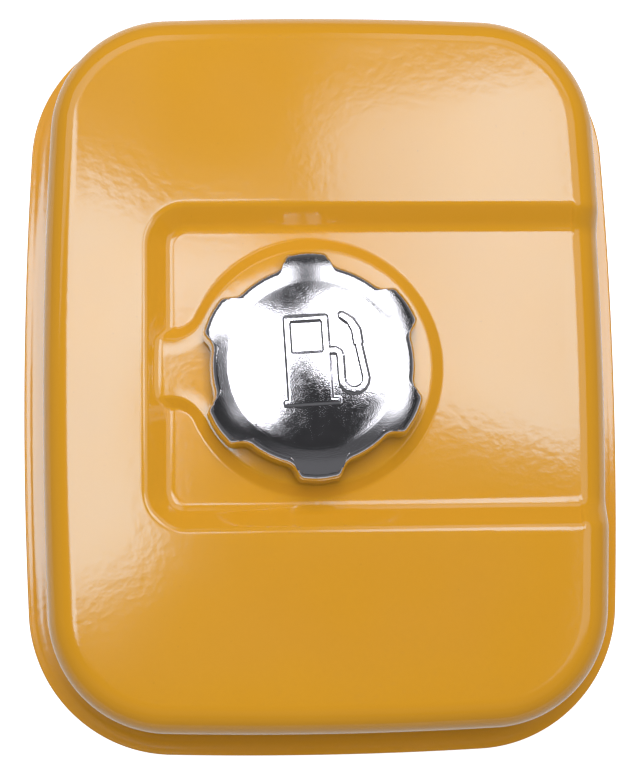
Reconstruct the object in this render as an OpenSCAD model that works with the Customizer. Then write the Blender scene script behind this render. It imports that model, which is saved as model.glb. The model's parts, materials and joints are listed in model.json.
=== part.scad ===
// Pressed steel fuel tank of a small petrol engine, with a bayonet filler cap.
// Millimetres. +Z is up, the feet of the brackets stand on z = 0, the length runs along Y.

/* [Tank outline] */
// Length of the seam flange
flange_len = 231; // [215:1:250]
// Width of the seam flange
flange_w = 185.3; // [175:0.1:200]
// Corner radius of the seam flange
corner_r = 45; // [36:1:50]
// Bulge of the long sides beyond a straight line
side_bulge = 4.8; // [3.6:0.2:7]
// Bulge of the short ends beyond a straight line
end_bulge = 3.5; // [2.6:0.1:5]

/* [Shells] */
// Thickness of the pressed sheet
sheet = 0.9; // [0.7:0.1:1.2]
// Flat width of the seam flange
flange_flat = 5.6; // [4:0.2:7]
// Height of the upper shell above the seam
upper_h = 40.5; // [36:0.5:50]
// Depth of the lower shell below the seam
lower_h = 36; // [32:0.5:42]
// Radius where the flange turns into the wall
root_r = 3; // [2:0.5:4]
// Radius where the top panel turns down into the wall
top_r = 9; // [7:0.5:12]
// Radius where the lower wall turns into the floor
bottom_r = 12; // [9:0.5:14]
// Draft of the pressed walls, degrees
wall_draft = 3; // [1:0.5:5]

/* [Sump] */
// Width of the sump at the shallow floor
sump_w = 92; // [80:1:96]
// Length of the sump at the shallow floor
sump_l = 80; // [70:1:86]
// Distance of the sump from the front end of the flange
sump_inset = 27.5; // [26:0.5:36]
// Depth of the sump below the shallow floor
sump_drop = 24; // [18:0.5:30]
// Corner radius of the sump in plan
sump_r = 16; // [14:0.5:20]
// Radius where the sump's wall turns into its floor
sump_edge_r = 8; // [6:0.5:10]
// Draft of the sump's walls, degrees
sump_draft = 8; // [4:0.5:12]

/* [Pressed panel] */
// Width of the tray that is sunk into the panel, between its shoulders
tray_w = 96.6; // [90:0.2:104]
// Distance of the tray's closed end from the middle of the tank
tray_back = 53.6; // [51:0.2:58]
// Depth of the tray below the panel
tray_d = 4; // [3.4:0.1:4.8]
// Steepness of the tray's walls, degrees
tray_slope = 34; // [30:1:40]
// Radius of the tray's shoulder
tray_edge_r = 4; // [3:0.5:5]
// Radius of the tray's foot
tray_foot_r = 9; // [7:0.5:10]
// Radius of the tray's two corners in plan
tray_r = 13; // [12:0.5:18]
// Height of the raised pad's edge above the tray's floor
pad_h = 1.8; // [1.5:0.1:2.2]
// Height of the pad's crown, which sheds spilt fuel
pad_crown = 0.2; // [0.1:0.05:0.4]
// Run of the crown from the pad's edge to its flat middle
crown_run = 5; // [4:0.5:6]
// Middle of the pad from the middle of the tank, across
pad_x = -4.2; // [-6:0.1:4]
// Middle of the pad from the middle of the tank, along
pad_y = -0.4; // [-4:0.1:4]
// Radius of the pad at its foot
pad_r = 37.5; // [36:0.1:40]
// Steepness of the pad's edge, degrees
pad_slope = 35; // [28:1:40]
// Radius of the pad's shoulder and of its foot
pad_edge_r = 2; // [1.5:0.1:2.5]
// Width of the bridge from the pad to the tray's closed end, at its foot
bridge_w = 24; // [18:0.2:30]
// Radius where the bridge runs into the pad
bridge_r = 9; // [6:0.5:12]
// How far the side wall steps in below the open end of the tray
side_step = 0.2; // [0.1:0.05:0.4]

/* [Filler neck] */
// Offset of the filler from the middle of the pad, across
neck_dx = -0.6; // [-1.5:0.1:1.5]
// Offset of the filler from the middle of the pad, along
neck_dy = -1; // [-1.5:0.1:1.5]
// Outer radius of the neck
neck_r = 24.5; // [22:0.1:27]
// Height of the neck above the pad
neck_h = 7; // [6.4:0.1:9]
// Thickness of the neck's wall
neck_t = 1.2; // [1:0.1:1.6]
// Width of the lip that the bayonet ears grip
lip_w = 5; // [4.4:0.1:5.6]
// Thickness of the lip, the ledge and the weld flange
lip_t = 1.2; // [1:0.1:1.6]
// Width of the weld flange round the neck
weld_w = 2; // [1.5:0.1:2.2]
// Depth of the strainer's ledge below the pad
ledge_drop = 6.3; // [5:0.1:8]
// How far the ledge reaches in past the lip
ledge_in = 1.9; // [1.5:0.1:2.5]
// Width of a bayonet ear
ear_w = 8.6; // [7:0.1:10]
// Quarter turn that locks the cap, degrees
turn_angle = 90; // [80:1:90]
// Width of the stop at the end of the turn, degrees
stop_angle = 10; // [6:1:14]
// Height of the stop below the lip
stop_h = 2; // [1.5:0.1:2.4]

/* [Strainer] */
// Depth of the strainer basket
strainer_depth = 40; // [28:1:46]
// Thickness of the basket's rim
rim_t = 2.2; // [1.6:0.1:3]
// Thickness of the mesh wall
mesh_t = 0.5; // [0.4:0.1:0.8]
// Number of ribs round the basket
rib_count = 6; // [4:1:10]
// Width of a rib
rib_w = 2.2; // [1.6:0.1:3]
// Thickness of a rib
rib_t = 1.5; // [1.2:0.1:1.7]
// Thickness of the basket's closed foot
foot_t = 1.6; // [1.2:0.1:3]

/* [Cap] */
// Gap between the neck and the cap's skirt
cap_fit = 2.5; // [2:0.1:3]
// Thickness of the cap's sheet
cap_t = 0.8; // [0.6:0.1:1]
// How far the skirt flares out towards its lower edge
flare = 0.6; // [0.3:0.1:0.9]
// Radius of the rolled edge between skirt and shoulder
roll_r = 1.2; // [1.1:0.1:1.6]
// How far the lobes stand out from the hollows
lobe_h = 3.8; // [3.4:0.1:4.6]
// Half angle of a lobe at its tip, degrees
lobe_tip = 10.6; // [9:0.2:12]
// Half angle of a lobe at its foot, degrees
lobe_foot = 16.2; // [14.5:0.1:18]
// Radius of a lobe's corners
lobe_round = 2.8; // [2:0.1:3]
// Radius where a lobe runs into the hollows
foot_round = 4; // [3:0.1:4.4]
// Angle at which the cap's first lobe stands, degrees
cap_angle = 93.1; // [60:0.1:120]
// Width of the flat shoulder and of the rise to the dome, in the hollows
shoulder_w = 5.8; // [5:0.1:6.6]
// Run of the rise from the shoulder to the dome
dome_run = 0.8; // [0.6:0.1:1.2]
// Height of the rise from the shoulder to the dome
dome_h = 0.6; // [0.4:0.1:0.9]
// Height of the dome over its edge
dome_sag = 2.2; // [1.6:0.1:2.8]
// How far the skirt reaches down over the neck
skirt_over = 3.3; // [2:0.1:3.6]

/* [Cap inside] */
// Thickness of the gasket
gasket_t = 2.2; // [1.6:0.1:3]
// Thickness of the plate on the gasket
seal_t = 0.8; // [0.6:0.1:1.2]
// Thickness of the wave washer's strip
wave_t = 0.5; // [0.4:0.1:0.7]
// Half the height of a wave
wave_h = 1.45; // [1.2:0.05:1.8]
// Thickness of the bayonet plate's hub
hub_t = 1.2; // [1:0.1:1.6]
// Thickness of the bayonet arms
arm_t = 1.6; // [1.2:0.1:2]
// Thickness of the bayonet ears
ear_t = 1.3; // [1:0.1:1.6]
// Thickness of the breather foam
foam_t = 4.4; // [3:0.1:5]
// Thickness of the vent baffle
baffle_t = 0.8; // [0.6:0.1:1.2]
// Radius of the vent holes in the baffle
vent_r = 1; // [0.6:0.1:1.4]
// Radius of the rivet's shank
rivet_r = 1.5; // [1.2:0.1:2]
// Height of the rivet's head
rivet_h = 1.2; // [0.8:0.1:1.6]

/* [Outlet] */
// Place of the outlet from the middle of the sump, across
outlet_dx = 18; // [-20:1:20]
// Place of the outlet from the middle of the sump, along
outlet_dy = -12; // [-16:1:8]
// Radius of the thread in the boss
thread_r = 5; // [4.5:0.1:6]
// Radius of the welded boss
boss_r = 10; // [8:0.5:12]
// Height of the welded boss
boss_h = 6; // [5:0.5:8]
// Radius of the sealing ring's section
ring_r = 1.1; // [0.8:0.1:1.4]
// Size of the hexagon across its flats
hex_flats = 16; // [15:0.5:19]
// Height of the hexagon
hex_h = 5; // [4:0.5:7]
// Length of the hose spigot
spigot_len = 15; // [12:0.5:20]
// Radius of the bead on the hose spigot
barb_r = 3.5; // [3:0.1:4]
// Radius of the fuel way through the joint
fuel_bore_r = 2; // [1.5:0.1:2.2]
// Height of the screen inside the sump
screen_h = 16; // [12:1:20]
// Wall of the screen
screen_t = 0.8; // [0.6:0.1:1.2]
// Height of the spigot's end above the feet
spigot_clear = 3.8; // [2:0.2:12]

/* [Mounting] */
// Radius of the front bolt holes
bolt_r = 3.25; // [2.6:0.05:4]
// Radius of the rear bolt hole
rear_bolt_r = 4.25; // [3.25:0.05:5.25]
// Distance between the two holes of a front bracket
bolt_gap = 30; // [24:1:34]
// Thickness of the bracket steel
bracket_t = 2; // [1.5:0.5:3]
// Radius inside the bends of a bracket
bend_r = 3; // [2:0.5:4]
// Length of the tab that is welded to the floor
tab_len = 16; // [12:1:18]
// Gap between the sump and the tabs of the front brackets
tab_gap = 5; // [3:0.5:6]
// Place of the front brackets from the middle of the sump, along
front_dy = 4; // [-6:1:10]
// Width of a front bracket
front_w = 50; // [46:1:60]
// Reach of a front foot from its leg
front_reach = 22; // [20:0.5:24]
// Distance of the front holes from the leg
front_hole = 13.2; // [11:0.2:15]
// Distance of the rear leg from the rear end of the flange
rear_inset = 43.5; // [40:0.5:50]
// Width of the rear bracket
rear_w = 64; // [50:1:80]
// Reach of the rear foot from its leg
rear_reach = 20; // [18:0.5:24]
// Distance of the rear hole from the leg
rear_hole = 12; // [11:0.5:15]
// Height of the gussets at the sides of a bracket
gusset_h = 34.7; // [24:0.1:40]
// How far a gusset ends before the edge of the foot
gusset_back = 4.2; // [2:0.2:8]
// Distance between the middles of the support rubbers
rubber_gap = 76; // [60:1:90]
// Width of a support rubber
rubber_w = 14; // [10:1:20]
// Length of a support rubber
rubber_l = 34; // [24:1:50]
// Thickness of a support rubber
rubber_t = 8; // [5:0.5:12]

/* [Clearances] */
// Gap between the neck and its hole in the panel
hole_gap = 0.2; // [0.1:0.05:0.4]
// Gap between pieces that are put together by hand
fit = 0.3; // [0.2:0.05:0.4]
// Gap at each side of an ear in its notch
notch_gap = 1.2; // [0.8:0.1:1.6]
// Gap between the ears and the wall of the neck
ear_gap = 1; // [0.6:0.1:1.4]
// Play of the ears under the lip
lip_play = 0.4; // [0.3:0.1:0.6]
// Gap between the edges of a flat ring and what it lies on
edge_gap = 0.6; // [0.4:0.1:0.8]

/* [Hidden] */

$fn = 64;
cut = 1;

paint = [0.86, 0.62, 0.17];
zinc = [0.78, 0.79, 0.80];
chrome = [0.90, 0.90, 0.92];
brass = [0.75, 0.62, 0.33];
nylon = [0.90, 0.89, 0.84];
rubber = [0.10, 0.10, 0.10];

// Levels
joint_z = spigot_clear + spigot_len + hex_h;
sump_z = joint_z + 2 * ring_r + boss_h;
stand_h = sump_z + sump_drop;
seam_z = stand_h + lower_h;
top_z = seam_z + upper_h;
pad_z = top_z - tray_d + pad_h + pad_crown;
neck_top = pad_z + neck_h;
lip_z = neck_top - lip_t;

// Outline of the seam flange: four long arcs and four corner arcs, all tangent
half_w = flange_w / 2;
half_l = flange_len / 2;
side_R = (half_l * half_l + side_bulge * side_bulge) / (2 * side_bulge);
end_R = (half_w * half_w + end_bulge * end_bulge) / (2 * end_bulge);
side_c = [half_w - side_R, 0];
end_c = [0, half_l - end_R];
c_dist = norm(end_c - side_c);
c_dir = (end_c - side_c) / c_dist;
c_along = (pow(side_R - corner_r, 2) - pow(end_R - corner_r, 2) + c_dist * c_dist) / (2 * c_dist);
c_off = sqrt(pow(side_R - corner_r, 2) - c_along * c_along);
corner_c = side_c + c_along * c_dir + c_off * [-c_dir.y, c_dir.x];
corner_a0 = atan2(corner_c.y, corner_c.x - side_c.x);
corner_a1 = atan2(corner_c.y - end_c.y, corner_c.x);

function dir(a) = [cos(a), sin(a)];
function arc(c, r, a0, a1, n) = [for (k = [0:n]) c + r * dir(a0 + (a1 - a0) * k / n)];
function head(list) = [for (k = [0:len(list) - 2]) list[k]];

// A full outline from its first quarter, which runs from the +X axis to the +Y axis
function four_fold(q) = concat(
  head(q),
  [for (k = [len(q) - 1:-1:1]) [-q[k].x, q[k].y]],
  [for (k = [0:len(q) - 2]) -q[k]],
  [for (k = [len(q) - 1:-1:1]) [q[k].x, -q[k].y]]
);

// The tank outline moved inwards by i, always with the same number of points
function tank_outline(i) = four_fold(concat(
  head(arc(side_c, side_R - i, 0, corner_a0, 5)),
  head(arc(corner_c, corner_r - i, corner_a0, corner_a1, 8)),
  arc(end_c, end_R - i, corner_a1, 90, 4)
));

// A rounded rectangle moved inwards by i
function box_outline(size, r, i) = four_fold(concat(
  [[size.x / 2 - i, 0]],
  arc(size / 2 - [r, r], r - i, 0, 90, 6),
  [[0, size.y / 2 - i]]
));

// One closed ring of a loft
function ring(pts, z) = [for (p = pts) [p.x, p.y, z]];

// A solid through a stack of rings: up the outside, or down the inside and up the outside of a shell
module loft(rings) {
  n = len(rings[0]);
  last = (len(rings) - 1) * n;
  polyhedron(
    points = [for (r = rings) for (p = r) p],
    faces = concat(
      [[for (k = [0:n - 1]) k]],
      [for (r = [0:len(rings) - 2]) for (k = [0:n - 1])
        [r * n + k, (r + 1) * n + k, (r + 1) * n + (k + 1) % n, r * n + (k + 1) % n]],
      [[for (k = [n - 1:-1:0]) last + k]]
    ),
    convexity = 6
  );
}

// Section of a drawn shell as [inset, height over the seam]: the bend out of the flange,
// the drafted wall and the bend into the panel, moved into the tank by skin
root_steps = 3;
function wall_section(h, edge_r, skin) =
  let (
    root = [flange_flat, sheet + root_r],
    rise = h - edge_r - root.y,
    edge = [
      flange_flat + (edge_r + root_r + rise * sin(wall_draft)) / cos(wall_draft),
      h - edge_r
    ]
  )
  concat(
    arc(root, root_r + skin, -90, -wall_draft, root_steps),
    arc(edge, edge_r - skin, 180 - wall_draft, 90, 6)
  );

// Outer form of a shell with its flange, and the hollow inside it
function outer_section(h, edge_r) = concat([[0, 0], [0, sheet]], wall_section(h, edge_r, 0));
function inner_section(h, edge_r) = concat([[flange_flat, -cut]], wall_section(h, edge_r, sheet));

module raise_section(section) {
  loft([for (p = section) ring(tank_outline(p.x), seam_z + p.y)]);
}

module drop_section(section) {
  n = len(section) - 1;
  loft([for (k = [n:-1:0]) ring(tank_outline(section[k].x), seam_z - section[k].y)]);
}

// Section of a sloped press wall as [run, depth]: over the shoulder, down the slope and through
// the foot into the floor, laid deeper into the sheet by skin
bite = 0.05;
function press_section(depth, slope, edge_r, foot_r, skin) =
  let (
    bends = edge_r + foot_r,
    run = bends * sin(slope) + (depth - bends * (1 - cos(slope))) / tan(slope)
  )
  concat(
    arc([0, edge_r], edge_r - skin, -90, slope - 90, 2),
    head(arc([run, depth - foot_r], foot_r + skin, 90 + slope, 90, 2)),
    [[run, depth + skin + bite]]
  );

// Shoulder line of the tray moved inwards by i, from beyond the right side round the closed end
function tray_outline(i) =
  let (
    past = half_w + cut,
    centre = [tray_r - tray_back, tray_w / 2 - tray_r]
  )
  concat(
    [[past, tray_w / 2 - i]],
    arc(centre, tray_r - i, 90, 180, 6),
    arc([centre.x, -centre.y], tray_r - i, 180, 270, 6),
    [[past, i - tray_w / 2]]
  );

// The hollow of the tray from above the panel to well below its floor
module tray(skin) {
  section = press_section(tray_d, tray_slope, tray_edge_r, tray_foot_r, skin);
  foot = section[len(section) - 1].x;
  translate([0, 0, top_z])
    loft(concat(
      [ring(tray_outline(foot), -tray_d - 2 * top_r)],
      [for (k = [len(section) - 1:-1:1]) ring(tray_outline(section[k].x), -section[k].y)],
      [ring(tray_outline(0), bite - skin), ring(tray_outline(0), cut)]
    ));
}

// Foot line of the pad and its bridge round the pad's middle, moved inwards by i
function pad_outline(i) =
  let (
    off = bridge_w / 2 + bridge_r,
    reach = sqrt(pow(pad_r + bridge_r, 2) - off * off),
    turn = atan2(off, reach),
    left = -tray_back - cut - pad_x
  )
  concat(
    arc([0, 0], pad_r - i, turn - 180, 180 - turn, 32),
    arc([-reach, off], bridge_r + i, -turn, -90, 5),
    [[left, bridge_w / 2 - i], [left, i - bridge_w / 2]],
    arc([-reach, -off], bridge_r + i, 90, turn, 5)
  );

// The raised pad round the neck, with the bridge to the tray's closed end
module pad(skin) {
  section = press_section(pad_h, pad_slope, pad_edge_r, pad_edge_r, skin);
  last = len(section) - 1;
  foot = section[last].x;
  translate([pad_x, pad_y, pad_z])
    loft(concat(
      [ring(pad_outline(0), -pad_h - pad_crown - skin - cut)],
      [for (k = [last:-1:0]) ring(pad_outline(foot - section[k].x), -section[k].y - pad_crown)],
      [ring(pad_outline(foot + crown_run), -skin)]
    ));
}

// Section of the wall above the flange, as it ends at the level of the tray's floor
function low_wall(skin) =
  let (wall = wall_section(upper_h - tray_d, top_r, skin))
  [for (k = [root_steps:len(wall) - 1]) wall[k] + [side_step, 0]];

// The form of the upper shell: the drawn form with the tray sunk into it, the low wall that
// rounds the tray's open end, and the pad on the tray's floor
module panel_form(section, skin) {
  union() {
    difference() {
      raise_section(section);
      tray(skin);
    }
    raise_section(low_wall(skin));
    pad(skin);
  }
}

// A sheet of even thickness: the same form once more, grown inwards by the sheet, is taken out
module upper_shell() {
  color(paint)
    difference() {
      panel_form(outer_section(upper_h, top_r), 0);
      panel_form(inner_section(upper_h, top_r), sheet);
      at_neck(pad_z - 2 * cut)
        cylinder(h = 3 * cut, r = neck_r + hole_gap);
    }
}

// Sump: a smaller pan below the shallow floor
sump_size = [sump_w, sump_l];
sump_y = sump_inset + sump_l / 2 - half_l;
outlet_x = outlet_dx;
outlet_y = sump_y + outlet_dy;

module sump_form(skin) {
  edge_h = sump_drop - sump_edge_r;
  edge = (sump_edge_r + edge_h * sin(sump_draft)) / cos(sump_draft);
  pan = concat(
    [[skin, -2 * sheet - cut], [skin, 0]],
    arc([edge, edge_h], sump_edge_r - skin, 180 - sump_draft, 90, 5)
  );
  n = len(pan) - 1;
  translate([0, sump_y, stand_h])
    loft([for (k = [n:-1:0]) ring(box_outline(sump_size, sump_r, pan[k].x), -pan[k].y)]);
}

module lower_shell() {
  color(paint)
    difference() {
      union() {
        drop_section(outer_section(lower_h, bottom_r));
        sump_form(0);
      }
      drop_section(inner_section(lower_h, bottom_r));
      sump_form(sheet);
      translate([outlet_x, outlet_y, sump_z - cut])
        cylinder(h = 3 * cut, r = thread_r + cut);
    }
}

// Neck: a drawn collar with a bayonet lip, a ledge for the strainer and a weld flange
neck_in_r = neck_r - neck_t;
weld_r = neck_r + weld_w;
mouth_r = neck_r - lip_w;
ledge_r = mouth_r - ledge_in;
ledge_z = pad_z - ledge_drop;
notch_w = ear_w + 2 * notch_gap;
notch_r = neck_in_r - ear_gap + edge_gap;
ear_r = neck_in_r - ear_gap;
ear_half = asin(ear_w / 2 / ear_r);
stop_gap = 2;

module at_neck(z) {
  translate([pad_x + neck_dx, pad_y + neck_dy, z])
    children();
}

module filler_neck() {
  stop_r = mouth_r + lip_t;
  color(paint)
    at_neck(0)
      union() {
        difference() {
          rotate_extrude()
            polygon([
              [ledge_r, ledge_z - lip_t], [neck_r, ledge_z - lip_t], [neck_r, pad_z],
              [weld_r, pad_z], [weld_r, pad_z + lip_t], [neck_r, pad_z + lip_t],
              [neck_r, neck_top], [mouth_r, neck_top], [mouth_r, lip_z], [neck_in_r, lip_z],
              [neck_in_r, ledge_z], [ledge_r, ledge_z]
            ]);
          // notches that let the bayonet ears through
          rotate([0, 0, cap_angle])
            translate([-notch_r, -notch_w / 2, lip_z - cut])
              cube([2 * notch_r, notch_w, lip_t + 2 * cut]);
        }
        // stops at the end of the quarter turn
        for (a = [0, 180])
          rotate([0, 0, cap_angle + a - turn_angle - ear_half - stop_angle - stop_gap])
            rotate_extrude(angle = stop_angle)
              translate([stop_r, lip_z - stop_h])
                square([neck_in_r - stop_r + neck_t / 2, stop_h + lip_t / 2]);
      }
}

// Strainer: a nylon basket that hangs on the neck's ledge
rim_r = mouth_r - fit;
mesh_r = ledge_r - rib_t - fit;
rib_in = 2 * fit;
basket_z = ledge_z - strainer_depth;

module strainer_frame() {
  color(nylon)
    at_neck(0)
      union() {
        rotate_extrude()
          translate([mesh_r - rib_in, ledge_z])
            square([rim_r - mesh_r + rib_in, rim_t]);
        for (k = [0:rib_count - 1])
          rotate([0, 0, 360 * k / rib_count])
            translate([mesh_r, -rib_w / 2, basket_z])
              cube([rib_t, rib_w, strainer_depth + rim_t / 2]);
        translate([0, 0, basket_z - foot_t])
          cylinder(h = foot_t, r = mesh_r + rib_t);
      }
}

module strainer_mesh() {
  color(nylon)
    at_neck(basket_z)
      difference() {
        cylinder(h = strainer_depth, r = mesh_r);
        translate([0, 0, mesh_t])
          cylinder(h = strainer_depth, r = mesh_r - mesh_t);
      }
}

// Outlet: a welded boss, a screwed hose joint with its ring, and a screen inside the sump
shank_over = 2;
hex_r = hex_flats / 2 / cos(30);

module at_outlet(z) {
  translate([outlet_x, outlet_y, z])
    children();
}

module outlet_boss() {
  color(paint)
    at_outlet(sump_z - boss_h)
      difference() {
        cylinder(h = boss_h, r = boss_r);
        translate([0, 0, -cut])
          cylinder(h = boss_h + 2 * cut, r = thread_r);
      }
}

module outlet_joint() {
  shank_top = boss_h + 2 * ring_r + shank_over;
  barb_z = -hex_h - spigot_len;
  bead_rise = 2.4;
  bead_len = 2;
  bead_h = 0.6;
  bead_top = barb_z + bead_rise + bead_len;
  color(brass)
    at_outlet(joint_z)
      difference() {
        union() {
          cylinder(h = shank_top, r = thread_r);
          translate([0, 0, -hex_h])
            cylinder(h = hex_h, r = hex_r, $fn = 6);
          rotate_extrude()
            polygon([
              [0, barb_z], [barb_r - bead_h, barb_z], [barb_r, barb_z + bead_rise], [barb_r, bead_top],
              [barb_r - bead_h, bead_top + bead_h], [barb_r - bead_h, cut - hex_h], [0, cut - hex_h]
            ]);
        }
        translate([0, 0, barb_z - cut])
          cylinder(h = shank_top - barb_z + 2 * cut, r = fuel_bore_r);
      }
}

module outlet_o_ring() {
  color(rubber)
    at_outlet(joint_z + ring_r)
      rotate_extrude()
        translate([thread_r + ring_r, 0])
          circle(r = ring_r, $fn = 24);
}

module outlet_screen() {
  screen_r = thread_r - 2 * fit;
  color(nylon)
    at_outlet(sump_z + shank_over)
      difference() {
        cylinder(h = screen_h, r = screen_r);
        translate([0, 0, -cut])
          cylinder(h = screen_h + cut - screen_t, r = screen_r - screen_t);
      }
}

// Brackets: bent strips welded under the shallow floor
front_x = sump_w / 2 + tab_gap + tab_len;
front_y = sump_y + front_dy;
rear_y = half_l - rear_inset;

// Side view of a bent strip: tab under the floor, leg down, foot outwards on z = 0
module bent_strip(reach) {
  t = bracket_t;
  over = [-t - bend_r, stand_h - t - bend_r];
  under = [bend_r, t + bend_r];
  polygon(concat(
    [[-tab_len, stand_h]],
    arc(over, bend_r + t, 90, 0, 6),
    arc(under, bend_r, 180, 270, 6),
    [[reach, t], [reach, 0]],
    arc(under, bend_r + t, 270, 180, 6),
    arc(over, bend_r, 0, 90, 6),
    [[-tab_len, stand_h - t]]
  ));
}

module bolt_hole(r) {
  translate([0, 0, -cut])
    cylinder(h = bracket_t + 2 * cut, r = r);
}

// A bent strip with a gusset along each side, w wide and centred on the X axis
module bent_bracket(w, reach) {
  half_t = bracket_t / 2;
  toe = reach - gusset_back;
  rotate([90, 0, 0]) {
    linear_extrude(w, center = true)
      bent_strip(reach);
    for (s = [-1, 1])
      translate([0, 0, s * (w - bracket_t) / 2])
        linear_extrude(bracket_t, center = true)
          polygon([
            [-half_t, half_t], [toe, half_t],
            [toe, bracket_t + half_t], [bend_r, gusset_h], [-half_t, gusset_h]
          ]);
  }
}

// The right-hand bracket, with two bolt holes in its foot
module front_bracket() {
  translate([front_x, front_y, 0])
    difference() {
      bent_bracket(front_w, front_reach);
      for (s = [-1, 1])
        translate([front_hole, s * bolt_gap / 2, 0])
          bolt_hole(bolt_r);
    }
}

module front_bracket_right() {
  color(paint)
    front_bracket();
}

module front_bracket_left() {
  color(paint)
    mirror([1, 0, 0])
      front_bracket();
}

module rear_bracket() {
  color(paint)
    translate([0, rear_y, 0])
      rotate([0, 0, 90])
        difference() {
          bent_bracket(rear_w, rear_reach);
          translate([rear_hole, 0, 0])
            bolt_hole(rear_bolt_r);
        }
}

// Two rubber strips that bear on the engine under the shallow floor
module support_rubbers() {
  sump_end = sump_y + sump_l / 2;
  tab_end = rear_y - tab_len;
  color(rubber)
    for (s = [-1, 1])
      translate([(s * rubber_gap - rubber_w) / 2, (sump_end + tab_end - rubber_l) / 2, stand_h - rubber_t])
        cube([rubber_w, rubber_l, rubber_t]);
}

// Cap: stack over the neck
hollow_r = neck_r + cap_fit + cap_t + flare;
cap_r = hollow_r + lobe_h;
dome_r = hollow_r - shoulder_w;
seal_z = neck_top + gasket_t;
spring_z = seal_z + seal_t;
shoulder_z = spring_z + wave_t + 2 * wave_h + fit + cap_t;
rise_z = shoulder_z + dome_h;
skirt_z = neck_top - skirt_over;

module cap_gasket() {
  color(rubber)
    at_neck(neck_top)
      difference() {
        cylinder(h = gasket_t, r = neck_r - hole_gap);
        translate([0, 0, -cut])
          cylinder(h = gasket_t + 2 * cut, r = mouth_r + fit);
      }
}

module seal_plate() {
  color(zinc)
    at_neck(seal_z)
      difference() {
        cylinder(h = seal_t, r = neck_r);
        translate([0, 0, -cut])
          cylinder(h = seal_t + 2 * cut, r = mouth_r);
      }
}

// Wave washer: a flat ring whose height follows three waves
module cap_spring() {
  n = 72;
  waves = 3;
  inner = mouth_r + edge_gap;
  outer = neck_r - edge_gap;
  function lift(k) = wave_h * (1 + cos(360 * waves * k / n));
  function corner(k, r, z) = [r * cos(360 * k / n), r * sin(360 * k / n), z + lift(k)];
  color(zinc)
    at_neck(spring_z)
      polyhedron(
        points = [for (k = [0:n - 1]) for (c = [[inner, 0], [outer, 0], [outer, wave_t], [inner, wave_t]])
          corner(k, c[0], c[1])],
        faces = [for (k = [0:n - 1]) for (e = [0:3])
          let (a = 4 * k, b = 4 * ((k + 1) % n), f = (e + 1) % 4)
          [a + e, a + f, b + f, b + e]],
        convexity = 6
      );
}

// Corner of an outline rounded with radius r
function rounded(p, q, s, r, n) =
  let (
    u = (p - q) / norm(p - q),
    v = (s - q) / norm(s - q),
    half = acos(u * v) / 2,
    w = (u + v) / norm(u + v),
    c = q + w * r / sin(half),
    a0 = atan2(q.y + u.y * r / tan(half) - c.y, q.x + u.x * r / tan(half) - c.x),
    a1 = atan2(q.y + v.y * r / tan(half) - c.y, q.x + v.x * r / tan(half) - c.x),
    turn = (a1 - a0 + 540) % 360 - 180
  )
  arc(c, r, a0, a0 + turn, n);

// One sixth of the cap outline: from the middle of a hollow over a lobe to the next hollow
lobes = 6;
foot_ease = 5;
function lobe_points() =
  let (
    pitch = 360 / lobes,
    a = hollow_r * dir(-pitch / 2),
    b = hollow_r * dir(-lobe_foot),
    c = cap_r * dir(-lobe_tip),
    d = cap_r * dir(lobe_tip),
    e = hollow_r * dir(lobe_foot),
    f = hollow_r * dir(pitch / 2)
  )
  concat(
    arc([0, 0], hollow_r, -pitch / 2, -lobe_foot - foot_ease, 1),
    rounded(hollow_r * dir(-lobe_foot - foot_ease), b, c, foot_round, 2),
    rounded(b, c, cap_r * dir(0), lobe_round, 3),
    [cap_r * dir(0)],
    rounded(cap_r * dir(0), d, e, lobe_round, 3),
    rounded(d, e, hollow_r * dir(lobe_foot + foot_ease), foot_round, 2),
    head(arc([0, 0], hollow_r, lobe_foot + foot_ease, pitch / 2, 1))
  );

function spin(p, a) = [p.x * cos(a) - p.y * sin(a), p.x * sin(a) + p.y * cos(a)];
lobe_line = [for (k = [0:lobes - 1]) for (p = lobe_points()) spin(p, cap_angle + 360 * k / lobes)];

// The cap outline moved inwards by i along its normals
function cap_outline(i) =
  let (n = len(lobe_line))
  [for (k = [0:n - 1])
    let (
      p = lobe_line[k],
      t = lobe_line[(k + 1) % n] - lobe_line[(k + n - 1) % n]
    )
    p + i * [-t.y, t.x] / norm(t)];

// A circle with one point for each point of the cap outline
function cap_circle(r) = [for (p = lobe_line) r * p / norm(p)];

// Height of the dome at the radius r
function dome_z(r) = rise_z + dome_sag * (1 - pow(r / dome_r, 2));

// Hub under the dome, which bears on it along its rim
hub_r = mouth_r - 5 * fit;
hub_seat = 0.02;
hub_z = dome_z(hub_r) - cap_t - hub_seat - hub_t;

// The pressed cover: flared skirt, rolled edge, flat shoulder and dome. Its rings run from the
// skirt to the middle, on the outer face or on the inner one, skin further in
function cap_rings(skin) = concat(
  [ring(cap_outline(skin), skirt_z)],
  [for (a = [0:30:90])
    ring(cap_outline(flare + roll_r - (roll_r - skin) * cos(a)),
      shoulder_z - roll_r + (roll_r - skin) * sin(a))],
  [ring(cap_circle(dome_r + dome_run - skin / 2), shoulder_z - skin)],
  [for (r = [dome_r - skin / 2, hub_r, hub_r / 2, cap_t]) ring(cap_circle(r), dome_z(r) - skin)]
);

module cap_shell() {
  inside = cap_rings(cap_t);
  color(chrome)
    at_neck(0)
      loft(concat(
        [for (k = [len(inside) - 1:-1:0]) inside[k]],
        cap_rings(0)
      ));
}

// Bayonet plate: a hub under the cover with two arms that end in ears below the lip
arm_in = hub_r - arm_t - 2 * fit;
ear_z = lip_z - lip_play - ear_t;

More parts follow.
